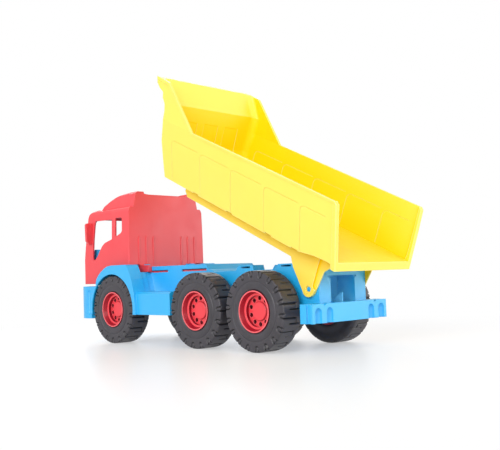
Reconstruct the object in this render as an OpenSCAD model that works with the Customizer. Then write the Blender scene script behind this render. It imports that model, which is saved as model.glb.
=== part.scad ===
// Toy dump truck: three axles, open cab, tipping body on two push-in hinge pins.
// +X is the front of the truck, +Y its left side, +Z up, and the tyres stand on z = 0.

/* [Wheels] */
// Outer diameter of a tyre
wheel_d = 85; // [82:0.5:86]
// Width of a tyre
tyre_w = 29; // [26:0.5:29]
// Distance from the truck's middle to a tyre's outer face
tyre_out_y = 73; // [72:0.5:74]
// Radius of the rim's outer lip
rim_r = 21.8; // [20:0.2:23]
// Diameter of the steel axle rods
axle_d = 5; // [4:0.2:6]
// Distance between the middle and the rear axle
bogie_l = 93; // [90:0.5:96]
// Distance from the bogie's centre to the front axle
wheelbase = 205; // [203:1:207]

/* [Chassis] */
// Half the width of the chassis channel
rail_y = 38.6; // [38:0.1:38.8]
// Wall thickness of the blue mouldings
wall = 2.4; // [1.8:0.2:2.8]
// Height of the channel's top deck
deck_z = 85.5; // [85:0.5:86]
// Height of the channel's open lower edge
rail_bottom_z = 35; // [33:0.5:36]
// Rear face of the channel, from the bogie's centre
rail_rear_x = -107; // [-109:0.5:-105]
// Rear face of the rear bumper
bumper_rear_x = -116.5; // [-118:0.5:-115]
// Front face of the front bumper
bumper_front_x = 287; // [284:0.5:290]

/* [Cab] */
// Back wall of the cab
cab_rear_x = 181.5; // [180:0.5:183]
// Half the width of the cab
cab_y = 62.5; // [61:0.5:64]
// Wall thickness of the red shell
cab_wall = 2.2; // [1.8:0.1:2.6]

/* [Tipping body] */
// Angle at which the body stands raised
tilt = 25.4; // [10:0.1:40]
// Wall thickness of the yellow body
bed_wall = 2.3; // [2:0.1:2.6]
// Diameter of the hinge pins
pin_d = 5; // [4:0.1:6]

/* [Hidden] */
$fn = 96;

blue = [0.16, 0.70, 0.95];
red = [0.88, 0.17, 0.24];
yellow = [1.0, 0.90, 0.22];
rubber = [0.13, 0.13, 0.14];
steel = [0.75, 0.76, 0.78];

eps = 0.01;
wheel_r = wheel_d / 2;
axle_z = wheel_r;
tyre_in_y = tyre_out_y - tyre_w;
axle_x = [wheelbase, bogie_l / 2, -bogie_l / 2];

// The hinge axis, and where it lies in the tipping body's own frame, whose origin is
// the lower edge of the tail, with u forward along the floor and n square to it.
pin_x = -95.8;
pin_z = 63.9;
pin_u = 39.5;
pin_n = -37.6;
ear_in_y = rail_y + 0.5;
ear_t = 3.6;
ear_out_y = ear_in_y + ear_t;
ear_r = 8;
pin_fit = 0.06;

// Tipping body: key heights above the tail's lower edge
belt_n = 39.5;
rail_n = 64.5;
canopy_n = 107.5;
floor_n = 8;
skirt_n = -1.2;
tail_lean = 0.22;
rib_pitch = 54;
rib_u0 = 49.5;
tail_cut = 2.5;

// The raised tail is the rearmost point and the bumper the foremost, so the footprint's
// middle lies halfway between them. The whole model is moved by it.
tail_top_x = pin_x + (tail_lean * rail_n - pin_u) * cos(tilt) - (rail_n - tail_cut - pin_n) * sin(tilt);
mid_x = (tail_top_x + bumper_front_x) / 2;

module place() {
    translate([-mid_x, 0, 0]) children();
}

module mirrored_y() {
    children();
    mirror([0, 1, 0]) children();
}

// A prism whose outline is given as x, z points, spanning y0 to y1
module side_prism(points, y0, y1) {
    translate([0, y1, 0]) rotate([90, 0, 0]) linear_extrude(y1 - y0) polygon(points);
}

// A prism whose outline is given as y, z points, spanning x0 to x1
module end_prism(points, x0, x1) {
    translate([x0, 0, 0]) rotate([90, 0, 90]) linear_extrude(x1 - x0) polygon(points);
}

// A cylinder along Y
module y_rod(r, y0, y1) {
    translate([0, y1, 0]) rotate([90, 0, 0]) cylinder(r = r, h = y1 - y0);
}

module box(x0, x1, y0, y1, z0, z1) {
    translate([x0, y0, z0]) cube([x1 - x0, y1 - y0, z1 - z0]);
}

function arc(cx, cz, r, a0, a1, steps) =
    [for (i = [0:steps]) let (a = a0 + (a1 - a0) * i / steps) [cx + r * cos(a), cz + r * sin(a)]];

// ---------------------------------------------------------------- wheels

tread_round = 1.6;
bead_r = rim_r + 0.05;

module tyre_shape() {
    w = tyre_w;
    rotate_extrude($fn = 128)
        polygon([[bead_r, 0], [27, 0], [28, 0.7], [37, 0.7], [wheel_r - tread_round, tread_round],
                 [wheel_r, 2 * tread_round + 1], [wheel_r, w - 2 * tread_round - 1],
                 [wheel_r - tread_round, w - tread_round], [37, w - 0.7], [28, w - 0.7],
                 [27, w], [bead_r, w]]);
}

// Rim outline as radius and depth from the tyre's inner face, with the cap outwards
disc_w = tyre_w - 10;
hub_r = 7;
hub_in = tyre_in_y - rail_y - 1.2;
hole_ring_r = 13.6;
hole_r = 2.35;
hole_count = 10;
axle_seat = 6;

module rim_shape() {
    w = tyre_w;
    difference() {
        rotate_extrude()
            polygon([[0, disc_w - 2.4 - axle_seat], [0, disc_w + 1.8], [9.3, disc_w + 1.8],
                     [10.1, disc_w + 1], [10.1, disc_w], [16.6, disc_w], [16.6, w - 6], [18.6, w - 5.4],
                     [20.5, w - 0.6], [20.5, w], [rim_r, w], [rim_r, 1], [19.6, 1],
                     [19.6, disc_w - 3.4], [16, disc_w - 2.4], [hub_r, disc_w - 2.4],
                     [hub_r, -hub_in], [axle_d / 2, -hub_in], [axle_d / 2, disc_w - 2.4 - axle_seat + 4]]);
        for (i = [0:hole_count - 1]) rotate([0, 0, (i + 0.5) * 360 / hole_count])
            translate([hole_ring_r, 0, disc_w - 4]) cylinder(r = hole_r, h = 8, $fn = 32);
    }
}

// Stands a wheel piece, drawn from its inner face outwards, at an axle. side is 1 left, -1 right.
module at_wheel(i, side) {
    translate([axle_x[i], side * tyre_in_y, axle_z]) rotate([-90 * side, 0, 0]) children();
}

module tyre(i, side) { color(rubber) at_wheel(i, side) tyre_shape(); }
module rim(i, side) { color(red) at_wheel(i, side) rim_shape(); }

axle_end_y = tyre_in_y + disc_w - 2.4 - axle_seat + 4 - 0.05;

module axle(i) {
    color(steel) translate([axle_x[i], 0, axle_z]) y_rod(axle_d / 2, -axle_end_y, axle_end_y);
}

// ---------------------------------------------------------------- chassis

well_r = 44.3;
fender_y = 74;
fender_top_z = 98;
fender_bottom_z = 36.5;
saddle_top_z = 94.8;
saddle_rear_x = 64.6;
boss_r = 6;
axle_hole_r = axle_d / 2 + 0.08;

// Crown and front edge of a mudguard seen from the side, g above its own outline
function fender_crown(g) =
    [[wheelbase - 31, fender_top_z + g], [wheelbase - 1, fender_top_z + g], [wheelbase + 8, 97 + g],
     [wheelbase + 15, 94.4 + g], [wheelbase + 23 + g / 2, 90 + g], [wheelbase + 29 + g, 85.4 + g],
     [wheelbase + 32.8 + g, 81 + g], [wheelbase + 34.3 + g, 77 + g], [wheelbase + 34.5 + g, front_z1]];

// Rear edge, moved forward by d
function fender_back(d) =
    [[wheelbase - 49.5 + d, fender_bottom_z], [wheelbase - 49 + d, 47], [wheelbase - 47 + d, 63.5],
     [wheelbase - 42 + d, 80], [wheelbase - 37 + d, 90], [wheelbase - 33.2 + d, 96.8]];

step_depth = 1.1;
step_y = [56, 47.5];

// Cuts the mudguard's rear surface back by d, from the chassis out to y
module rear_step(d, y) {
    side_prism(concat(fender_back(d), [[wheelbase - 31 + d, fender_top_z + 1], [wheelbase - 60, fender_top_z + 1],
                                       [wheelbase - 60, fender_bottom_z - 1], [wheelbase - 49.5 + d, fender_bottom_z - 1]]),
               rail_y, y);
}

module fender() {
    difference() {
        side_prism(concat(fender_back(0), fender_crown(0),
                          [[front_back_x + 0.5, front_z1], [front_back_x + 0.5, fender_bottom_z]]),
                   rail_y - wall, fender_y);
        translate([wheelbase, 0, axle_z]) y_rod(well_r + 1.6, rail_y, fender_y - 2);
        translate([wheelbase, 0, axle_z]) y_rod(well_r, rail_y, fender_y + 1);
        box(wheelbase - 44, wheelbase + 44, rail_y, fender_y + 1, 20, fender_bottom_z + 1.5);
        rear_step(step_depth, step_y[0]);
        rear_step(2 * step_depth, step_y[1]);
    }
}

tank_x0 = 93;
tank_x1 = wheelbase - 50;
tank_y = 70.5;
tank_z0 = 36.5;
tank_z1 = 64;
pan_h = 3;

module tank() {
    difference() {
        end_prism([[rail_y - 1, tank_z0], [tank_y, tank_z0], [tank_y, tank_z1 - 2.5],
                   [tank_y - 2.5, tank_z1], [rail_y - 1, tank_z1]], tank_x0, tank_x1 + 4);
        box(tank_x0 + wall, tank_x1 - 2, rail_y + 1, tank_y - wall, tank_z0 - 1, tank_z0 + pan_h);
    }
}

pad_h = 5.6;
pad_l = 27.6;
pad_in_y = 21;

// A hollow rest pad on the deck, with a slot in its outer side
module rest_pad(x_front) {
    difference() {
        side_prism([[x_front - pad_l - 2, deck_z - 1], [x_front - pad_l, deck_z + pad_h],
                    [x_front - 5.3, deck_z + pad_h], [x_front, deck_z - 1]], pad_in_y, rail_y);
        box(x_front - pad_l + 4, x_front - 9, pad_in_y + 3, rail_y + 1, deck_z + 2.4, deck_z + 4.2);
    }
}

saddle_slots = [[134, cab_rear_x + cab_wall], [63, 108]];

module saddle() {
    difference() {
        side_prism([[saddle_rear_x - 16.5, deck_z - 1], [saddle_rear_x - 11.5, deck_z + 2.2],
                    [saddle_rear_x - 6.5, deck_z + 2.8], [saddle_rear_x, saddle_top_z],
                    [cab_rear_x + 60, saddle_top_z], [cab_rear_x + 60, deck_z - 1]], -rail_y, rail_y);
        // the pocket that takes the cab's tongue, and its side slots
        box(tongue_x - 0.4, cab_rear_x + cab_wall + 0.4, -tongue_y - 0.4, tongue_y + 0.4, deck_z, tongue_top_z + 0.4);
        for (s = saddle_slots)
            box(s[0], s[1], -rail_y - 1, rail_y + 1, deck_z + 1.6, tongue_top_z + 0.8);
    }
}

recess_y = 20;
recess_top_z = 77;
recess_depth = 26;
bumper_z0 = 30.2;
bumper_z1 = 49.6;
bumper_y = 61.6;
bumper_depth = 16;

// A vertical half-round groove with a domed top, cut into the bumper's rear face
module bumper_groove(y) {
    translate([bumper_rear_x, y, bumper_z0 - 1]) cylinder(r = 5, h = bumper_z1 - bumper_z0 - 8);
    translate([bumper_rear_x, y, bumper_z1 - 9]) sphere(r = 5);
}

module rear_bumper() {
    difference() {
        box(bumper_rear_x, bumper_rear_x + bumper_depth, -bumper_y, bumper_y, bumper_z0, bumper_z1);
        box(bumper_rear_x + 6, bumper_rear_x + bumper_depth - wall, -bumper_y + 6, bumper_y - 6,
            bumper_z0 - 1, bumper_z0 + pan_h);
        for (side = [-1, 1]) {
            bumper_groove(side * 34.4);
            bumper_groove(side * 52.2);
            // channel down the bumper's end and a small notch in its top edge
            scale([1, side, 1]) box(bumper_rear_x + 2.8, bumper_rear_x + 8.2, bumper_y - 2.6, bumper_y + 1,
                                    bumper_z0 - 1, bumper_z1 + 1);
            translate([bumper_rear_x, side * 41.8, bumper_z1]) rotate([0, 90, 0])
                cylinder(r = 2, h = 7, center = true, $fn = 24);
        }
    }
}

front_z0 = 30.5;
front_z1 = 72;
front_back_x = wheelbase + 46;

module front_bumper() {
    r = 25;
    y = fender_y - 0.4;
    difference() {
        union() {
            intersection() {
                box(front_back_x, bumper_front_x, -y, y, front_z0, front_z1);
                union() {
                    box(front_back_x, bumper_front_x - r, -y, y, front_z0, front_z1);
                    box(front_back_x, bumper_front_x, -y + r, y - r, front_z0, front_z1);
                    for (side = [-1, 1])
                        translate([bumper_front_x - r, side * (y - r), front_z0])
                            cylinder(r = r, h = front_z1 - front_z0);
                }
            }
        }
        // the pan underneath
        box(front_back_x + wall, bumper_front_x - 14, -y + 18, y - 18, front_z0 - 1, front_z0 + pan_h);
        // slim recess at each rounded end
        for (side = [-1, 1]) translate([bumper_front_x - 31, side * (y + 1), 0]) {
            translate([0, 0, front_z0 + 9]) cylinder(r = 4.2, h = front_z1 - front_z0 - 18);
            translate([0, 0, front_z0 + 9]) sphere(r = 4.2);
            translate([0, 0, front_z1 - 9]) sphere(r = 4.2);
        }
        // number plate recess, two grille slots and round lamp pockets
        box(bumper_front_x - 1.6, bumper_front_x + 1, -21, 21, 35, 47);
        for (z = [52, 59]) box(bumper_front_x - 3, bumper_front_x + 1, -24, 24, z, z + 3.5);
        for (side = [-1, 1]) translate([bumper_front_x - 2.2, side * 40, 52]) rotate([0, 90, 0])
            cylinder(r = 8.5, h = 5);
    }
    for (side = [-1, 1]) translate([bumper_front_x - 3, side * 40, 52]) rotate([0, 90, 0])
        cylinder(r = 5.5, h = 2.2);
}

module channel() {
    difference() {
        box(rail_rear_x, front_back_x + 2, -rail_y, rail_y, rail_bottom_z, deck_z);
        box(rail_rear_x + wall, front_back_x - wall, -rail_y + wall, rail_y - wall,
            rail_bottom_z - 1, deck_z - wall);
    }
    // cross walls that stiffen the channel between the axles
    for (x = [84, 160]) box(x, x + wall, -rail_y + 1, rail_y - 1, 60, deck_z - 1);
    // bearing bosses
    for (x = axle_x) translate([x, 0, axle_z]) mirrored_y() y_rod(boss_r, rail_y - 5, rail_y);
    // hinge pin sockets
    translate([pin_x, 0, pin_z]) mirrored_y() y_rod(6, pin_socket_y, rail_y - 0.5);
}

module rear_recess_walls() {
    box(rail_rear_x, rail_rear_x + recess_depth, -recess_y - wall, recess_y + wall,
        bumper_z1 - wall, recess_top_z + wall);
}

module rear_recess() {
    box(rail_rear_x - 1, rail_rear_x + recess_depth - wall, -recess_y, recess_y, bumper_z1, recess_top_z);
    box(rail_rear_x - 1, rail_rear_x + 1.4, -recess_y - 3, recess_y + 3, recess_top_z - 2, recess_top_z);
}

cab_base_t = 2.6;
dash_x1 = 277;

module chassis() {
    color(blue) difference() {
        union() {
            channel();
            difference() {
                rear_recess_walls();
                rear_recess();
            }
            saddle();
            mirrored_y() {
                fender();
                tank();
                rest_pad(14.6);
                rest_pad(-46.2);
            }
            rear_bumper();
            front_bumper();
            // floor plate that the cab stands on
            box(cab_rear_x, dash_x1, -cab_y + 3, cab_y - 3, fender_top_z - cab_base_t, fender_top_z);
            box(wheelbase + 20, front_back_x + 2, -rail_y, rail_y, deck_z - 1, fender_top_z - 1);
        }
        // the recess opens through the channel's rear wall
        rear_recess();
        // slots that take the cab's web and lugs
        box(cab_rear_x - 0.3, cab_rear_x + cab_wall + 0.3, -web_y - 0.3, web_y + 0.3, deck_z, fender_top_z + 1);
        for (side = [-1, 1]) scale([1, side, 1])
            box(lug_x0 - 5, lug_x1 + 0.6, rail_y, step_y[0], lug_z0 - 0.3, fender_top_z + 1);
        for (x = axle_x) translate([x, 0, axle_z]) y_rod(axle_hole_r, -rail_y - 1, rail_y + 1);
        translate([pin_x, 0, pin_z]) y_rod(pin_d / 2, pin_socket_y + 2, rail_y + 1);
        translate([pin_x, 0, pin_z]) mirror([0, 1, 0]) y_rod(pin_d / 2, pin_socket_y + 2, rail_y + 1);
    }
    // centre rib in the recess
    color(blue) side_prism([[rail_rear_x + 1, bumper_z1 - 1], [rail_rear_x + 1, bumper_z1 + 9.5],
                            [rail_rear_x + 3, bumper_z1 + 9.5], [rail_rear_x + 13, bumper_z1 + 3],
                            [rail_rear_x + 13, bumper_z1 - 1]], -0.9, 0.9);
}

// ---------------------------------------------------------------- hinge pins

pin_socket_y = rail_y - 11;

module hinge_pin() {
    translate([pin_x, 0, pin_z]) {
        y_rod(pin_d / 2, pin_socket_y + 2.2, ear_out_y - 1.3);
        y_rod(pin_d / 2 - 0.9, ear_out_y - 1.4, ear_out_y - 0.4);
    }
}

module hinge_pin_left() { color(blue) hinge_pin(); }
module hinge_pin_right() { color(blue) mirror([0, 1, 0]) hinge_pin(); }

// ---------------------------------------------------------------- cab

tongue_x = 62;
lug_x0 = cab_rear_x - 15.7;
lug_x1 = cab_rear_x + 5.5;
lug_y0 = rail_y + 0.3;
lug_y1 = 45;
lug_z0 = 88.4;
lug_z1 = 96.8;
tongue_y = rail_y - 2.6;
web_y = 30;
tongue_top_z = 88.9;
roof_z = 171.5;
ridge_z = 191.6;
cab_front_r = 9;

// Side outline of the cabin, shrunk by d
function cabin_side(d) =
    [[cab_rear_x + d, fender_top_z - (d > 0 ? 10 : 0)], [cab_rear_x + d + 0.8, roof_z - d],
     [240, roof_z - 1 - d], [243.5, 170 - d], [253, roof_z + 1 - d], [262, 171.4 - d],
     [270 - d, 168.5 - d], [273.5 - d, 162.5], [280 - d, 122], [282 - d, 103], [284.5 - d, 75 - 2 * d],
     [wheelbase + 46.8 + d, 75 - 2 * d], [wheelbase + 46.8, 76]];

// Outline seen from behind, shrunk by d
function cabin_end(d) =
    [[-cab_y + d, 60], [-cab_y + d, 98], [-cab_y + 1.7 + d, 166.5], [-cab_y + 3 + d, 170 - d],
     [-cab_y + 6 + d, roof_z - d + 1], [cab_y - 6 - d, roof_z - d + 1], [cab_y - 3 - d, 170 - d],
     [cab_y - 1.7 - d, 166.5], [cab_y - d, 98], [cab_y - d, 60]];

// Outline seen from above, shrunk by d
module cabin_plan(d) {
    x1 = 286 - d;
    y = cab_y + 1 - d;
    r = cab_front_r - d / 2;
    rb = 4 - d;
    union() {
        translate([cab_rear_x + d, -y + rb]) square([x1 - r - cab_rear_x - d, 2 * (y - rb)]);
        translate([cab_rear_x + d + rb, -y]) square([x1 - r - cab_rear_x - d - rb, 2 * y]);
        translate([x1 - r - 1, -y + r]) square([r + 1, 2 * (y - r)]);
        for (side = [-1, 1]) {
            translate([x1 - r, side * (y - r)]) circle(r);
            translate([cab_rear_x + d + rb, side * (y - rb)]) circle(rb);
        }
    }
}

module cabin_solid(d) {
    intersection() {
        side_prism(cabin_side(d), -cab_y - 2, cab_y + 2);
        end_prism(cabin_end(d), cab_rear_x - 1, 292);
        translate([0, 0, 40]) linear_extrude(160) cabin_plan(d);
    }
}

// The roof deflector behind the visor: inset sides, two ridges and a lower valley between
deflector_side = [[cab_rear_x + 0.8, roof_z - 4], [cab_rear_x + 0.8, ridge_z], [196, ridge_z - 0.3],
                  [210, ridge_z - 1.6], [224, 187], [236, 182.6], [248, 177], [256, roof_z - 4]];

module deflector_solid(d) {
    intersection() {
        side_prism([for (p = deflector_side) [p[0] + (p[0] < cab_rear_x + 1 ? d : -d), p[1] - d]], -60, 60);
        end_prism([[-53.5 + d, 160], [-53 + d, 173.5 - d], [-49.6 + d, ridge_z - 3 - d], [-46 + d, ridge_z - d],
                   [-37 - d, ridge_z + 1 - d], [-35.5 - d, ridge_z - 2.6 - d], [-29 - d, ridge_z - 3.4 - d],
                   [29 + d, ridge_z - 3.4 - d], [35.5 + d, ridge_z - 2.6 - d], [37 + d, ridge_z + 1 - d],
                   [46 - d, ridge_z - d], [49.6 - d, ridge_z - 3 - d], [53 - d, 173.5 - d], [53.5 - d, 160]],
                  cab_rear_x, 262);
    }
}

main_window = [[263, 109], [261.5, 134], [259, 152.5], [258, 156], [255, 158], [219, 157.6],
               [219, 132.2], [235, 128], [241.2, 124], [246.1, 118.2], [251, 111.8], [257, 106.6], [261, 106]];
quarter_window = [[211.5, 159], [198.8, 158.8], [197, 157], [197, 141.6], [199.4, 139], [209.6, 135],
                  [211.5, 136.6]];

module back_ribs() {
    for (side = [-1, 1], y = [23, 34.5, 46])
        end_prism([[side * y - 1.1, 97.8], [side * y - 1.1, 128], [side * y, 134.5], [side * y + 1.1, 128],
                   [side * y + 1.1, 97.8]], cab_rear_x - 0.7, cab_rear_x + 1.5);
}

module cab() {
    color(red) {
        difference() {
            union() {
                cabin_solid(0);
                deflector_solid(0);
            }
            difference() {
                union() {
                    cabin_solid(cab_wall);
                    deflector_solid(cab_wall);
                }
                // the front skirt below the dash stays clear of the bumper
                box(170, 200, -80, 80, 0, 98);
            }
            box(cab_rear_x + cab_wall, wheelbase + 47, -cab_y + cab_wall, cab_y - cab_wall, 60, 110);
            // the crowns of the mudguards
            side_prism(concat([[cab_rear_x - 20, 60], [cab_rear_x - 20, fender_top_z + 0.05]], fender_crown(0.05),
                              [[wheelbase + 34.5, 60]]), -80, 80);
            // windscreen
            end_prism([[-55, 109], [-53, 158], [-50, 161], [50, 161], [53, 158], [55, 109], [52, 106], [-52, 106]],
                      263, 300);
            side_prism(main_window, -80, 80);
            side_prism(quarter_window, -80, 80);
            // grille slots and lamp pockets
            for (z = [80, 86, 92]) box(281, 292, -30, 30, z, z + 3);
            for (side = [-1, 1]) box(282.8, 292, side * 45 - 9, side * 45 + 9, 80, 95);
            // seats for the mirror stems
            for (side = [-1, 1]) mirror_seat(side);
        }
        back_ribs();
        // lugs behind the back wall, and the tongue that slides into the saddle
        mirrored_y() {
            box(lug_x0, lug_x1, lug_y0, lug_y1, lug_z0, lug_z1);
            box(cab_rear_x, cab_rear_x + cab_wall, lug_y0, lug_y1, lug_z0, fender_top_z + 2);
            box(lug_x0 + 1, cab_rear_x, tongue_y - 1, lug_y0 + 1, tongue_top_z - 1.5, tongue_top_z);
        }
        tongue();
    }
}

module tongue() {
    box(tongue_x, cab_rear_x + cab_wall, -tongue_y, tongue_y, deck_z + 0.2, tongue_top_z);
    // upright web that joins the tongue to the foot of the back wall
    box(cab_rear_x, cab_rear_x + cab_wall, -web_y, web_y, deck_z + 0.2, fender_top_z + 3);
}

mirror_x0 = 263.5;
mirror_t = 3.6;
stem_z = 150;

module mirror_seat(side) {
    translate([mirror_x0 + mirror_t / 2, 0, stem_z]) scale([1, side, 1]) y_rod(1.5, cab_y - 6, cab_y + 2);
}

// A flat mirror head with a cut lower corner, on a round stem pressed into the pillar
module wing_mirror() {
    end_prism([[cab_y - 0.4, 129], [cab_y + 1.6, 127], [cab_y + 4, 127.5], [cab_y + 8, 132], [cab_y + 8.6, 153.5],
               [cab_y + 7, 155.5], [cab_y - 0.4, 155.8]], mirror_x0, mirror_x0 + mirror_t);
    translate([mirror_x0 + mirror_t / 2, 0, stem_z]) y_rod(1.5, cab_y - 3, cab_y + 1);
}

module mirror_left() { color(red) wing_mirror(); }
module mirror_right() { color(red) mirror([0, 1, 0]) wing_mirror(); }

module dashboard() {
    color(blue) {
        side_prism([[256, fender_top_z], [256, 112], [259, 120.5], [270, 121], [276, 112],
                    [dash_x1 - 0.5, fender_top_z]], -54, 54);
    }
}

// ---------------------------------------------------------------- tipping body

function half_y(n) =
    n < belt_n ? 62 + 0.192 * n
    : n < rail_n ? 62 + 0.192 * belt_n + 0.164 * (n - belt_n)
    : 62 + 0.192 * belt_n + 0.164 * (rail_n - belt_n) + 0.03 * (n - rail_n);

// Cross section, from its floor edge n0 to its top, moved outwards by g
function bed_section(n0, g) =
    let (ns = [n0, belt_n, rail_n, canopy_n + 3])
    concat([for (n = ns) [half_y(n) + g, n]], [for (i = [3:-1:0]) [-half_y(ns[i]) - g, ns[i]]]);

// Front edge of the outer skin, from the bottom up to the lip, moved back by d
function bed_front(d) =
    [[281 - d, skirt_n], [286.7 - d, 15.6], [294 - d, belt_n], [295 - d, 52], [297 - d, 74],
     [299.5 - d * 0.8, 82 + d * 0.3], [305.5 - d * 0.6, 88 + d * 0.6], [307.5 - d * 0.5, 94.5 + d * 0.8],
     [315 - d * 0.4, 97.4 + d], [322 - d * 0.9, 102.5 + d], [324 - d, 109.4]];

bed_top = [[323, 109.6], [299, canopy_n], [239.7, rail_n], [tail_lean * rail_n + 3, rail_n],
           [tail_lean * rail_n, rail_n - tail_cut]];
bed_bottom = [[0, 0], [1, -0.6], [7, -0.6], [7.6, 4.4], [12, 4.8], [30, 3.4], [44, 0.8], [54, skirt_n]];

module bed_outer(g) {
    intersection() {
        side_prism(concat(bed_front(0), bed_top, bed_bottom), -80, 80);
        end_prism(bed_section(skirt_n - 1, g), -10, 340);
    }
}

// One level of the load space: its front edge at u1, half width y and front corners of radius r
module level(n, u1, y, r) {
    translate([0, 0, n]) linear_extrude(0.02) {
        translate([-40, -y]) square([20, 2 * y]);
        for (side = [-1, 1]) translate([u1 - r, side * (y - r)]) circle(r, $fn = 40);
    }
}

// The load space, open above and behind, with rounded front corners and a ledge below the canopy
ledge_n = 84;
module bed_inner() {
    w = bed_wall;
    hull() {
        level(floor_n, 279.4, half_y(floor_n) - w, 7);
        level(belt_n, 291.6, half_y(belt_n) - w, 8);
        level(rail_n, 293.4, half_y(rail_n) - w, 9);
        level(ledge_n, 295.4, half_y(ledge_n) - w, 9);
    }
    hull() {
        level(ledge_n, 295.4, half_y(ledge_n) - w, 9);
        level(ledge_n + 4, 299.6, half_y(ledge_n + 4) - w, 10);
    }
    hull() {
        level(ledge_n + 4, 299.6, half_y(ledge_n + 4) - w, 10);
        level(canopy_n + 5, 320.6, half_y(canopy_n + 5) - w, 9);
    }
    // shallow panels in the front wall
    for (y = [-34, 0, 34])
        side_prism([[270, 14], [282.6, 14], [292.4, belt_n], [294.2, 66], [293, 68], [270, 68]], y - 11.5, y + 11.5);
}

// The hollow under the floor
module bed_under() {
    intersection() {
        side_prism([[20, skirt_n - 2], [20, floor_n - bed_wall], [281.5 - bed_wall, floor_n - bed_wall],
                    [281 - 2 * bed_wall - 1, skirt_n - 2]], -80, 80);
        end_prism(bed_section(skirt_n - 4, -bed_wall), -10, 340);
    }
}

beam_n = -16;
ear_outline = concat(
    [[257, floor_n - 1], [260.5, -10], [254, beam_n], [74, beam_n], [67, -25]],
    arc(pin_u, pin_n, ear_r, -32, -172, 14),
    [[28.8, -14], [23, -7.3], [21.5, 2], [21.5, floor_n - 1]]);

module ear_plate() {
    difference() {
        side_prism(ear_outline, ear_in_y, ear_out_y);
        // thinner strip along the rear edge, beside the thick web and the boss round the pin
        difference() {
            side_prism([[37, floor_n - 3], [36.8, -9], [35.6, pin_n + 4], [pin_u - 12, pin_n + 2], [18, -8],
                        [18, floor_n - 3]], ear_in_y + 1.5, ear_out_y + 1);
            translate([pin_u, 0, pin_n]) y_rod(6.4, ear_in_y, ear_out_y + 2);
        }
    }
}

// Shallow outline of one side panel: its front edge, round corner and top edge
groove_w = 0.7;
groove_depth = 0.4;
panel_top_n = 46.5;
corner_r = 5;

module panel_groove(k) {
    u0 = rib_u0 + rib_pitch * k;
    u1 = k == 0 ? 11 : u0 - rib_pitch;
    lean_u = tail_lean * panel_top_n;
    side_prism([[u0, skirt_n - 1], [u0 + lean_u - 1.3, panel_top_n - corner_r],
                [u0 + lean_u - 2.4, panel_top_n - corner_r * 0.35], [u0 + lean_u - 5, panel_top_n - 0.5],
                [u0 + lean_u - 6, panel_top_n], [u1 + lean_u + 3, panel_top_n],
                [u1 + lean_u + 3, panel_top_n - groove_w], [u0 + lean_u - 6.3, panel_top_n - groove_w],
                [u0 + lean_u - 3.4, panel_top_n - corner_r * 0.35 - groove_w * 0.5],
                [u0 + lean_u - 1.3 - groove_w, panel_top_n - corner_r], [u0 - groove_w, skirt_n - 1]], -80, 80);
}

rim_proud = 0.6;
module tipping_body_shape() {
    difference() {
        union() {
            difference() {
                bed_outer(0);
                bed_under();
            }
            // thick rim round the tail
            intersection() {
                bed_outer(rim_proud);
                side_prism([[-2, -5], [4.6, -5], [4.6 + tail_lean * 70, 70], [-2 + tail_lean * 70, 70]], -80, 80);
            }
            // narrow rim along the top edges
            intersection() {
                bed_outer(rim_proud);
                side_prism([[13, 61.9], [13, 66], [239, 66], [298.6, 109], [326, 111.5], [326, 106.6],
                            [300, 104.4], [240.7, 61.9]], -80, 80);
            }
            mirrored_y() ear_plate();
            // cross ribs under the floor
            for (u = [60, 120, 180, 240]) box(u, u + 2, -60, 60, skirt_n + 1, floor_n - 1);
        }
        bed_inner_trimmed();
        // side panel outlines, cut into the outer skin and lightly into the inner one
        difference() {
            for (k = [0:4]) panel_groove(k);
            end_prism(bed_section(skirt_n - 6, -groove_depth), -10, 340);
            box(-20, 6, -90, 90, -20, 120);
        }
        intersection() {
            for (k = [0:4]) panel_groove(k);
            end_prism(bed_section(floor_n + 2, -bed_wall + 0.35), -10, 276);
        }
        // slots in the lower edge of the side walls
        for (u = [57, 96, 160, 220]) box(u - 5, u + 5, -80, 80, skirt_n - 1, skirt_n + 1.3);
        // bores for the hinge pins, each with a recess round its outer end
        translate([pin_u, 0, pin_n]) y_rod(pin_d / 2 + pin_fit, -60, 60);
        for (side = [-1, 1]) scale([1, side, 1])
            translate([pin_u, 0, pin_n]) y_rod(pin_d / 2 + 1, ear_out_y - 1, ear_out_y + 4);
    }
}

// The load space, with a heavier rim left standing round the tail
module bed_inner_trimmed() {
    difference() {
        bed_inner();
        difference() {
            side_prism([[-2, -5], [7.3, -5], [7.3, floor_n + 6], [3.4 + tail_lean * 70, 70],
                        [-2 + tail_lean * 70, 70]], -80, 80);
            end_prism([for (p = bed_section(floor_n, -bed_wall - 1.9)) p], -10, 340);
        }
    }
}

module tipping_body() {
    color(yellow) translate([pin_x, 0, pin_z]) rotate([0, -tilt, 0]) translate([-pin_u, 0, -pin_n])
        tipping_body_shape();
}

// ---------------------------------------------------------------- assembly

place() chassis();
place() cab();
place() dashboard();
place() mirror_left();
place() mirror_right();
place() tipping_body();
place() hinge_pin_left();
place() hinge_pin_right();
place() axle(0);  // front_axle
place() axle(1);  // middle_axle
place() axle(2);  // rear_axle
place() rim(0, 1);  // front_rim_left
place() rim(0, -1);  // front_rim_right
place() rim(1, 1);  // middle_rim_left
place() rim(1, -1);  // middle_rim_right
place() rim(2, 1);  // rear_rim_left
place() rim(2, -1);  // rear_rim_right
place() tyre(0, 1);  // front_tyre_left
place() tyre(0, -1);  // front_tyre_right
place() tyre(1, 1);  // middle_tyre_left
place() tyre(1, -1);  // middle_tyre_right
place() tyre(2, 1);  // rear_tyre_left
place() tyre(2, -1);  // rear_tyre_right
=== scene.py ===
import math

import bmesh
import bpy
from mathutils import Matrix, Vector


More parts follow.
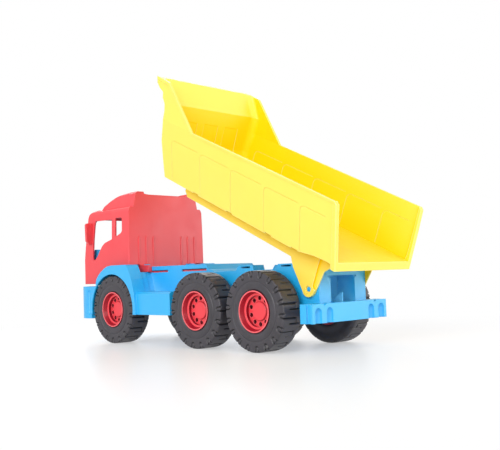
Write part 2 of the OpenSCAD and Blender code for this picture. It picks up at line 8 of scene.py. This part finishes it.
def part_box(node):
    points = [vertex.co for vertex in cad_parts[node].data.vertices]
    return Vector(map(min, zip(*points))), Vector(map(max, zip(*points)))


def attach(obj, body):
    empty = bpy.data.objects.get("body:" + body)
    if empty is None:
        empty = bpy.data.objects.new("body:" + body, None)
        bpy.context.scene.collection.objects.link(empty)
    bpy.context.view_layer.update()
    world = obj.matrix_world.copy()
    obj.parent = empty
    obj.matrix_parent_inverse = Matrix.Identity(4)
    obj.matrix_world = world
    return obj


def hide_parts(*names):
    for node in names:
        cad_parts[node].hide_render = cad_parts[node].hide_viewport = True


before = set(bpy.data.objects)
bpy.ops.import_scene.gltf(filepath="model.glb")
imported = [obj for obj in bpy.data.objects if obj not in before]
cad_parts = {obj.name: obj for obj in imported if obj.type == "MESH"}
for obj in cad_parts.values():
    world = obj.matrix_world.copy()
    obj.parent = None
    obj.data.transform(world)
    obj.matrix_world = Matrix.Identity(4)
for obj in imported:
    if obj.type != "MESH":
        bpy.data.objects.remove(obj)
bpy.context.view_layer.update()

MM = 0.001
scene = bpy.context.scene


# ------------------------------------------------------------------ colours and materials

def linear(r, g, b):
    """A colour given as 0 to 255 display values, as linear RGBA."""
    def channel(v):
        v /= 255.0
        return v / 12.92 if v <= 0.04045 else ((v + 0.055) / 1.055) ** 2.4
    return (channel(r), channel(g), channel(b), 1.0)


def mixed(first, second, share):
    """The first colour with a share of the second, as linear RGBA."""
    return tuple(a * (1 - share) + b * share for a, b in zip(first[:3], second[:3])) + (1.0,)


class Nodes:
    """Adds and links shader nodes in one material or world."""

    def __init__(self, holder):
        holder.use_nodes = True
        self.tree = holder.node_tree
        self.tree.nodes.clear()

    def add(self, kind, inputs=None, **settings):
        """A new node. An input is a value or another node's socket."""
        node = self.tree.nodes.new(kind)
        for key, value in settings.items():
            setattr(node, key, value)
        for key, value in (inputs or {}).items():
            if isinstance(value, bpy.types.NodeSocket):
                self.tree.links.new(value, node.inputs[key])
            else:
                node.inputs[key].default_value = value
        return node

    def ramp(self, fac, stops):
        """The colour that a factor picks from (place, colour) stops."""
        node = self.add("ShaderNodeValToRGB", {"Fac": fac})
        elements = node.color_ramp.elements
        while len(elements) < len(stops):
            elements.new(0.5)
        for element, (place, colour) in zip(elements, stops):
            element.position = place
            element.color = colour
        return node.outputs["Color"]

    def blend(self, factor, first, second):
        """The first colour where the factor is 0 and the second where it is 1."""
        node = self.add("ShaderNodeMix", {"Factor": factor, "A": first, "B": second}, data_type="RGBA")
        return node.outputs["Result"]

    def greater(self, first, second):
        return self.add("ShaderNodeMath", {0: first, 1: second}, operation="MAXIMUM").outputs["Value"]


PAINTED_HIGHLIGHT_REACH = 1.3 * MM       # how far in from an outer edge the painted highlight reaches
PEEL_DEPTH = 0.04 * MM          # orange peel of moulded plastic
GRAIN_DEPTH = 0.1 * MM          # grain of moulded rubber
DRAWN_DEPTH = 0.05 * MM         # drawing lines of a steel rod


def moulded(name, colour, shade, rough=(0.28, 0.42), round_edge=0.8 * MM, spec=0.5, painted_hollow_light=None, reach=0.3,
            shaded=(0.45, 0.97), painted_barrel_shade=None, painted_edge_highlight=None):
    """Moulded plastic: slight tone clouds, fine orange peel, softened edges and uneven gloss.

    shade is the deeper tone of the clouds, rough the range of the roughness and round_edge the
    radius, in metres, by which edges look softened. The hollows' colour is painted shade and
    bounced light, laid inside hollows where the open share of the surroundings within reach falls
    through the shaded range, with less gloss there. The colour for faces that look across the Y
    axis, such as a rim's barrel, is painted shade. The edge colour is a painted highlight, paler
    along outer edges."""
    material = bpy.data.materials.new(name)
    n = Nodes(material)
    place = n.add("ShaderNodeTexCoord").outputs["Object"]
    clouds = n.add("ShaderNodeTexNoise", {"Vector": place, "Scale": 14.0, "Detail": 3.0, "Roughness": 0.55})
    tone = n.ramp(clouds.outputs["Fac"], [(0.3, mixed(colour, shade, 0.16)), (0.7, colour)])
    # painted shade and bounced light inside hollows, with less gloss there
    if painted_hollow_light:
        open_share = n.add("ShaderNodeAmbientOcclusion", {"Distance": reach}, samples=8, only_local=True)
        painted_light_share = n.add("ShaderNodeMapRange", {
            "Value": open_share.outputs["AO"], "From Min": shaded[0], "From Max": shaded[1],
            "To Min": 0.95, "To Max": 0.0}, interpolation_type="SMOOTHSTEP").outputs["Result"]
        tone = n.blend(painted_light_share, tone, painted_hollow_light)
        spec = n.add("ShaderNodeMapRange", {"Value": painted_light_share, "To Min": spec, "To Max": 0.0}).outputs["Result"]
    # painted shade on faces that look across the Y axis, such as a rim's barrel
    if painted_barrel_shade:
        facing = n.add("ShaderNodeSeparateXYZ", {"Vector": n.add("ShaderNodeTexCoord").outputs["Normal"]})
        across = n.add("ShaderNodeMath", {0: facing.outputs["Y"]}, operation="ABSOLUTE")
        barrel = n.add("ShaderNodeMapRange", {
            "Value": across.outputs["Value"], "From Min": 0.3, "From Max": 0.9, "To Min": 1.0, "To Max": 0.0})
        tone = n.blend(barrel.outputs["Result"], tone, painted_barrel_shade)
    # painted highlight along outer edges
    if painted_edge_highlight:
        solid_share = n.add("ShaderNodeAmbientOcclusion", {"Distance": PAINTED_HIGHLIGHT_REACH}, samples=8,
                            inside=True, only_local=True)
        painted_highlight_share = n.add("ShaderNodeMapRange", {
            "Value": solid_share.outputs["AO"], "From Min": 0.5, "From Max": 0.82,
            "To Min": 0.9, "To Max": 0.0})
        tone = n.blend(painted_highlight_share.outputs["Result"], tone, painted_edge_highlight)
    haze = n.add("ShaderNodeTexNoise", {"Vector": place, "Scale": 60.0, "Detail": 4.0, "Roughness": 0.6})
    gloss = n.add("ShaderNodeMapRange", {"Value": haze.outputs["Fac"], "From Min": 0.3, "From Max": 0.7,
                                         "To Min": rough[0], "To Max": rough[1]})
    peel = n.add("ShaderNodeTexNoise", {"Vector": place, "Scale": 900.0, "Detail": 2.0, "Roughness": 0.5})
    edge = n.add("ShaderNodeBevel", {"Radius": round_edge}, samples=6)
    bump = n.add("ShaderNodeBump", {"Height": peel.outputs["Fac"], "Strength": 0.35, "Distance": PEEL_DEPTH,
                                    "Normal": edge.outputs["Normal"]})
    shader = n.add("ShaderNodeBsdfPrincipled", {
        "Base Color": tone, "Roughness": gloss.outputs["Result"], "Normal": bump.outputs["Normal"],
        "Specular IOR Level": spec})
    n.add("ShaderNodeOutputMaterial", {"Surface": shader.outputs["BSDF"]})
    return material


def rubber(name, colour, dusty, painted_groove_shade):
    """Moulded rubber: mottled, a little dusty, with a fine matt grain, and painted shade in its grooves."""
    material = bpy.data.materials.new(name)
    n = Nodes(material)
    place = n.add("ShaderNodeTexCoord").outputs["Object"]
    clouds = n.add("ShaderNodeTexNoise", {"Vector": place, "Scale": 45.0, "Detail": 5.0, "Roughness": 0.65})
    face = n.ramp(clouds.outputs["Fac"], [(0.32, colour), (0.72, dusty)])
    # painted shade in the tread grooves
    groove = n.add("ShaderNodeAttribute", attribute_name="groove")
    tone = n.blend(groove.outputs["Fac"], face, painted_groove_shade)
    grain = n.add("ShaderNodeTexNoise", {"Vector": place, "Scale": 700.0, "Detail": 3.0, "Roughness": 0.7})
    gloss = n.add("ShaderNodeMapRange", {"Value": clouds.outputs["Fac"], "From Min": 0.3, "From Max": 0.7,
                                         "To Min": 0.36, "To Max": 0.5})
    bump = n.add("ShaderNodeBump", {"Height": grain.outputs["Fac"], "Strength": 0.5, "Distance": GRAIN_DEPTH})
    shader = n.add("ShaderNodeBsdfPrincipled", {
        "Base Color": tone, "Roughness": gloss.outputs["Result"],
        "Normal": bump.outputs["Normal"], "Specular IOR Level": 0.5})
    n.add("ShaderNodeOutputMaterial", {"Surface": shader.outputs["BSDF"]})
    return material


def drawn_steel(name):
    """Plain steel rod with fine lines along its length, which is the Y axis."""
    material = bpy.data.materials.new(name)
    n = Nodes(material)
    place = n.add("ShaderNodeTexCoord").outputs["Object"]
    stretch = n.add("ShaderNodeMapping", {"Vector": place, "Scale": (900.0, 12.0, 900.0)})
    lines = n.add("ShaderNodeTexNoise", {"Vector": stretch.outputs["Vector"], "Scale": 1.0, "Detail": 3.0})
    tone = n.ramp(lines.outputs["Fac"], [(0.3, linear(150, 152, 156)), (0.7, linear(205, 207, 210))])
    bump = n.add("ShaderNodeBump", {"Height": lines.outputs["Fac"], "Strength": 0.3, "Distance": DRAWN_DEPTH})
    shader = n.add("ShaderNodeBsdfPrincipled", {
        "Base Color": tone, "Roughness": 0.32, "Metallic": 1.0, "Normal": bump.outputs["Normal"]})
    n.add("ShaderNodeOutputMaterial", {"Surface": shader.outputs["BSDF"]})
    return material


# painted in: a deeper yellow in the bed's hollows for shade and bounced light, and a paler highlight along
# outer edges
YELLOW = moulded("yellow_plastic", linear(255, 224, 82), linear(254, 210, 46), spec=1.0,
                 painted_hollow_light=linear(255, 208, 0), painted_edge_highlight=linear(255, 246, 150))
RED = moulded("red_plastic", linear(236, 64, 72), linear(200, 30, 50), rough=(0.4, 0.52), spec=0.9)
# painted in: shade on the rim's barrel and a paler highlight along outer edges
RIM_RED = moulded("rim_red_plastic", linear(240, 66, 76), linear(210, 36, 54), round_edge=0.5 * MM,
                  painted_barrel_shade=linear(140, 0, 28), painted_edge_highlight=linear(250, 120, 126))
# painted in: a paler grey-blue in recesses, standing in for the light there
BLUE = moulded("blue_plastic", linear(28, 176, 238), linear(0, 142, 216), rough=(0.34, 0.46), spec=1.0,
               painted_hollow_light=linear(120, 200, 236), reach=0.03, shaded=(0.2, 0.62))
# painted in: a darker tone in the grooves for shade
TYRE = rubber("black_rubber", linear(50, 48, 53), dusty=linear(64, 61, 68), painted_groove_shade=linear(16, 15, 18))
STEEL = drawn_steel("steel_rod")


def dress(obj, material):
    """Gives an object one material and takes away any other."""
    obj.data.materials.clear()
    obj.data.materials.append(material)


# ------------------------------------------------------------------ the carried-over solids

for name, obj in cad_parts.items():
    if "rim" in name:
        dress(obj, RIM_RED)
    elif "tyre" in name:
        dress(obj, TYRE)
    elif "axle" in name:
        dress(obj, STEEL)
    elif name in ("cab", "mirror_left", "mirror_right"):
        dress(obj, RED)
    elif name == "tipping_body":
        dress(obj, YELLOW)
    else:
        dress(obj, BLUE)


# ------------------------------------------------------------------ tyres

# Everything up to the mesh is in mm, measured from the tyre's inner face and from its axis.
TYRE_WIDTH = 29.0
TYRE_RADIUS = 42.42             # a hair within the CAD tyre
TYRE_BORE = 21.86
LUGS = 18                       # tread pattern repeats round the tyre
LUG_STEPS = 24                  # slices of one repeat
GROOVE_DEPTH = 2.2
TREAD_STEP = 0.62               # length of a mesh edge across the tread and the shoulders
WALL_STEP = 2.5                 # and nearer the bead, where nothing is cut
SHOULDER_RADIUS = 34.5          # where the finer steps start


def tyre_section():
    """(distance from the inner face, radius, arc length measured from the outer tread edge) round a section.

    The section runs from the inner bead over the tread to the outer bead, so the arc length is
    negative on the outer side wall and positive across the tread."""
    w, r, bore = TYRE_WIDTH, TYRE_RADIUS, TYRE_BORE
    corners = [(0.0, bore), (0.0, 24.0), (0.35, 27.5), (0.9, 28.4), (1.0, 32.0), (0.8, 37.0), (1.1, 39.2),
               (2.0, 41.0), (3.6, r - 0.25), (6.0, r), (w - 3.2, r), (w - 1.8, r - 0.12), (w - 1.0, r - 0.45),
               (w - 0.6, r - 1.0), (w - 0.4, r - 2.4), (w - 0.3, 36.5), (w - 0.45, 33.4), (w - 0.5, 31.9),
               (w - 0.95, 31.5), (w - 1.0, 30.9), (w - 0.6, 30.5), (w - 0.25, 29.8), (w - 0.05, 27.5),
               (w - 0.05, 24.6), (w - 0.5, 23.2), (w - 1.6, 22.6), (w - 1.6, bore)]
    fine = []
    for (y0, r0), (y1, r1) in zip(corners, corners[1:]):
        step = TREAD_STEP if max(r0, r1) > SHOULDER_RADIUS else WALL_STEP
        steps = max(1, round(math.hypot(y1 - y0, r1 - r0) / step))
        for k in range(steps):
            fine.append((y0 + (y1 - y0) * k / steps, r0 + (r1 - r0) * k / steps))
    fine.append(corners[-1])
    edge = min(range(len(fine)), key=lambda i: math.hypot(fine[i][0] - (w - 0.9), fine[i][1] - (r - 0.55)))
    arc = [0.0] * len(fine)
    for i in range(edge - 1, -1, -1):
        arc[i] = arc[i + 1] + math.dist(fine[i], fine[i + 1])
    for i in range(edge + 1, len(fine)):
        arc[i] = arc[i - 1] - math.dist(fine[i], fine[i - 1])
    return [(out, reach, across) for (out, reach), across in zip(fine, arc)]


def segment_distance(p, a, b):
    """Distance from the point p to the straight line between a and b."""
    dx, dy = b[0] - a[0], b[1] - a[1]
    t = max(0.0, min(1.0, ((p[0] - a[0]) * dx + (p[1] - a[1]) * dy) / (dx * dx + dy * dy)))
    return math.hypot(p[0] - a[0] - t * dx, p[1] - a[1] - t * dy)


def groove_share(along, across, span, pitch):
    """Depth of the tread pattern, 0 to 1, at a place along the tyre's arc and across its tread.

    span is the tread's width and pitch the length of one repeat. A hook runs over the outer
    edge on to the side wall, a groove crosses most of the tread and turns, and a third cuts in
    from the inner edge."""
    hook = [(-4.6, 1.0), (-4.6, -4.4), (-3.8, -5.9), (-2.3, -6.5), (-0.8, -5.9), (0.0, -4.4), (0.0, 1.0)]
    cross = [(0.0, 0.0), (0.0, span * 0.74), (4.2, span * 0.74)]
    far = [(pitch / 2 - 1.5, span + 1.0), (pitch / 2 - 1.5, span * 0.38)]
    near = 99.0
    for shift in (-pitch, 0.0, pitch):
        p = (along - shift, across)
        for line, half in ((hook, 0.6), (cross, 0.7), (far, 0.65)):
            for a, b in zip(line, line[1:]):
                near = min(near, segment_distance(p, a, b) - half)
    return max(0.0, min(1.0, 0.5 - near / 0.6))


def tyre_mesh(name, side):
    """One treaded tyre about the Y axis through the origin, its inner face on y = 0.

    side is 1 for a tyre on the left and -1 for one on the right."""
    section = tyre_section()
    span = next(across for out, reach, across in section if out > 1.2 and reach > 41.0)
    count = LUGS * LUG_STEPS
    pitch = 2 * math.pi * TYRE_RADIUS / LUGS
    pattern = []
    for k in range(LUG_STEPS):
        along = pitch * k / LUG_STEPS
        pattern.append([groove_share(along, across, span, pitch) if -8.5 < across < span + 3 else 0.0
                        for out, reach, across in section])
    bm = bmesh.new()
    rings = []
    cuts = []
    for k in range(count):
        turn = 2 * math.pi * k / count
        ring = []
        for (out, reach, across), cut in zip(section, pattern[k % LUG_STEPS]):
            cuts.append(cut)
            if across < -0.6:       # on the side wall, where the hooks are cut less deep
                out -= cut * GROOVE_DEPTH * 0.7
            else:
                reach -= cut * GROOVE_DEPTH
            place = (reach * MM * math.cos(turn), side * out * MM, reach * MM * math.sin(turn))
            ring.append(bm.verts.new(place))
        rings.append(ring)
    for ring, following in zip(rings, rings[1:] + rings[:1]):
        for j in range(len(section)):
            j2 = (j + 1) % len(section)
            quad = (ring[j], ring[j2], following[j2], following[j])
            bm.faces.new(quad if side > 0 else quad[::-1])
    bmesh.ops.recalc_face_normals(bm, faces=bm.faces)
    mesh = bpy.data.meshes.new(name)
    bm.to_mesh(mesh)
    bm.free()
    for face in mesh.polygons:
        face.use_smooth = True
    mesh.attributes.new("groove", "FLOAT", "POINT").data.foreach_set("value", cuts)     # read by rubber()
    return mesh


SIDES = {"left": 1, "right": -1}
TYRE_TURN = {"front": 7.0, "middle": 0.0, "rear": 11.0}         # degrees, so that the treads don't line up
TYRE_MESH = {word: tyre_mesh("treaded_tyre_" + word, side) for word, side in SIDES.items()}

for axle, turn in TYRE_TURN.items():
    for word, side in SIDES.items():
        node = f"{axle}_tyre_{word}"
        low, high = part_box(node)
        mesh = TYRE_MESH[word].copy()
        centre = Vector(((low[0] + high[0]) / 2, low[1] if side > 0 else high[1], (low[2] + high[2]) / 2))
        mesh.transform(Matrix.Translation(centre) @ Matrix.Rotation(math.radians(turn), 4, "Y"))
        tyre = bpy.data.objects.new(f"{axle}_{word}_treaded_tyre", mesh)
        scene.collection.objects.link(tyre)
        dress(tyre, TYRE)
        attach(tyre, f"{axle}_wheels")
        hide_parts(node)


# ------------------------------------------------------------------ camera, floor and light

CAMERA_PLACE = Vector((-673.427, 635.64, 81.57)) * MM
AZIMUTH = math.radians(225.17)      # of the view's direction, from +Y anticlockwise seen from above
PITCH = math.radians(3.59)          # the view looks up by this much
ROLL = math.radians(-1.93)          # anticlockwise as the camera sees it, so this one is clockwise
SENSOR_MM = 36.0
LENS_MM = 55.42416
LENS_SHIFT = (0.00184, 0.00106)     # in sensor widths

ahead = Vector((-math.sin(AZIMUTH) * math.cos(PITCH), math.cos(AZIMUTH) * math.cos(PITCH), math.sin(PITCH)))
flat_right = ahead.cross(Vector((0, 0, 1))).normalized()
flat_up = flat_right.cross(ahead)
right = flat_right * math.cos(ROLL) + flat_up * math.sin(ROLL)
up = -flat_right * math.sin(ROLL) + flat_up * math.cos(ROLL)

camera_data = bpy.data.cameras.new("camera")
camera_data.sensor_width = SENSOR_MM
camera_data.lens = LENS_MM
camera_data.shift_x, camera_data.shift_y = LENS_SHIFT
camera_data.clip_start = 0.01
camera_data.clip_end = 50.0
camera = bpy.data.objects.new("camera", camera_data)
scene.collection.objects.link(camera)
pose = Matrix((right, up, -ahead)).transposed().to_4x4()
pose.translation = CAMERA_PLACE
camera.matrix_world = pose
scene.camera = camera


WHITE = (1.0, 1.0, 1.0, 1.0)
FLOOR_HALF_SIZE = 6.0               # metres


def straight_or_mirrored(n):
    """1 for what the camera sees straight, mirrored or through something, and 0 for bounced light."""
    path = n.add("ShaderNodeLightPath").outputs
    mirrored = n.greater(path["Is Glossy Ray"], path["Is Transmission Ray"])
    return n.greater(path["Is Camera Ray"], mirrored)


def seen_white(name, colour, rough, near_white, near, far):
    """A pale surface that the camera sees lightened towards white.

    The share of white is near_white within the radius near and 1 beyond the radius far."""
    material = bpy.data.materials.new(name)
    n = Nodes(material)
    place = n.add("ShaderNodeTexCoord").outputs["Object"]
    grain = n.add("ShaderNodeTexNoise", {"Vector": place, "Scale": 3.0, "Detail": 3.0})
    tone = n.ramp(grain.outputs["Fac"], [(0.3, colour), (0.7, mixed(colour, WHITE, 0.3))])
    surface = n.add("ShaderNodeBsdfPrincipled", {
        "Base Color": tone, "Roughness": rough, "Specular IOR Level": 0.35})
    radius = n.add("ShaderNodeVectorMath", {0: place}, operation="LENGTH")
    share = n.add("ShaderNodeMapRange", {
        "Value": radius.outputs["Value"], "From Min": near, "From Max": far,
        "To Min": near_white, "To Max": 1.0}, interpolation_type="SMOOTHSTEP")
    amount = n.add("ShaderNodeMath", {0: straight_or_mirrored(n), 1: share.outputs["Result"]},
                   operation="MULTIPLY")
    white = n.add("ShaderNodeEmission", {"Color": WHITE, "Strength": 1.0})
    mix = n.add("ShaderNodeMixShader", {
        0: amount.outputs["Value"], 1: surface.outputs["BSDF"], 2: white.outputs["Emission"]})
    n.add("ShaderNodeOutputMaterial", {"Surface": mix.outputs["Shader"]})
    return material


floor_mesh = bpy.data.meshes.new("floor")
bm = bmesh.new()
bmesh.ops.create_grid(bm, x_segments=8, y_segments=8, size=FLOOR_HALF_SIZE)
bm.to_mesh(floor_mesh)
bm.free()
floor = bpy.data.objects.new("floor", floor_mesh)
scene.collection.objects.link(floor)
dress(floor, seen_white("pale_floor", linear(247, 247, 248), rough=0.3, near_white=0.42, near=0.26, far=0.6))

FILL_STRENGTH = 0.52                # of the light that the surroundings cast
SEEN_STRENGTH = 1.0                 # of the background that is seen or mirrored

world = bpy.data.worlds.new("studio")
scene.world = world
n = Nodes(world)
fill = n.add("ShaderNodeBackground", {"Color": WHITE, "Strength": FILL_STRENGTH})
seen = n.add("ShaderNodeBackground", {"Color": WHITE, "Strength": SEEN_STRENGTH})
mix = n.add("ShaderNodeMixShader", {
    0: straight_or_mirrored(n), 1: fill.outputs["Background"], 2: seen.outputs["Background"]})
n.add("ShaderNodeOutputWorld", {"Surface": mix.outputs["Shader"]})


def soft_box(name, place, aim_height, size, power):
    """An oblong lamp in metres and watts, aimed at a point above the middle of the floor."""
    data = bpy.data.lights.new(name, "AREA")
    data.shape = "RECTANGLE"
    data.size, data.size_y = size
    data.energy = power
    lamp = bpy.data.objects.new(name, data)
    scene.collection.objects.link(lamp)
    aim = Vector((0, 0, aim_height)) - Vector(place)
    lamp.matrix_world = Matrix.Translation(place) @ aim.to_track_quat("-Z", "Y").to_matrix().to_4x4()


soft_box("key_left", place=(-0.9, 2.0, 1.0), aim_height=0.12, size=(1.6, 1.6), power=38.0)
soft_box("top_rear", place=(-1.8, 0.2, 1.0), aim_height=0.18, size=(1.2, 1.0), power=11.0)
soft_box("low_right", place=(-1.3, -1.5, 0.5), aim_height=0.12, size=(1.4, 1.0), power=10.0)
soft_box("front_fill", place=(1.5, -0.9, 1.0), aim_height=0.12, size=(1.4, 1.2), power=14.0)

scene.view_settings.view_transform = "Standard"
